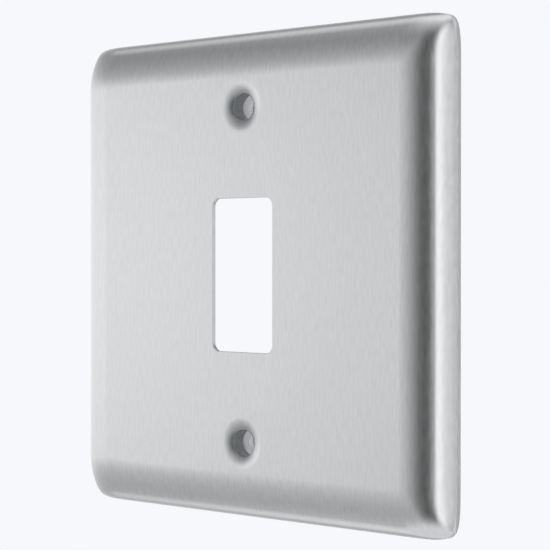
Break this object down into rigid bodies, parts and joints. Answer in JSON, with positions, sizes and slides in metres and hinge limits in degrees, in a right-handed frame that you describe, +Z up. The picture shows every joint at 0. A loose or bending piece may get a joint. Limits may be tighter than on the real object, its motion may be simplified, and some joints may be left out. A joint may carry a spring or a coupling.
{
  "type": "grid switch plate",
  "caption": "Square pressed steel wall plate with a softly domed border, a tall opening for a grid switch module and dished screw holes above and below it.",
  "frame": {"origin": "middle of the plate, on the wall plane that the seal's rear rim lies in", "axes": "+Z up the wall, +X to the right across the plate seen from the room, +Y into the wall; the front face looks along -Y"},
  "size_m": [0.088, 0.006, 0.088],
  "materials": {
    "brushed_steel": "satin brushed stainless steel, upright grain",
    "clear_seal": "soft moulded translucent plastic"
  },
  "bodies": {
    "root": {"front_plate": "brushed_steel", "gasket": "clear_seal"}
  },
  "joints": []
}
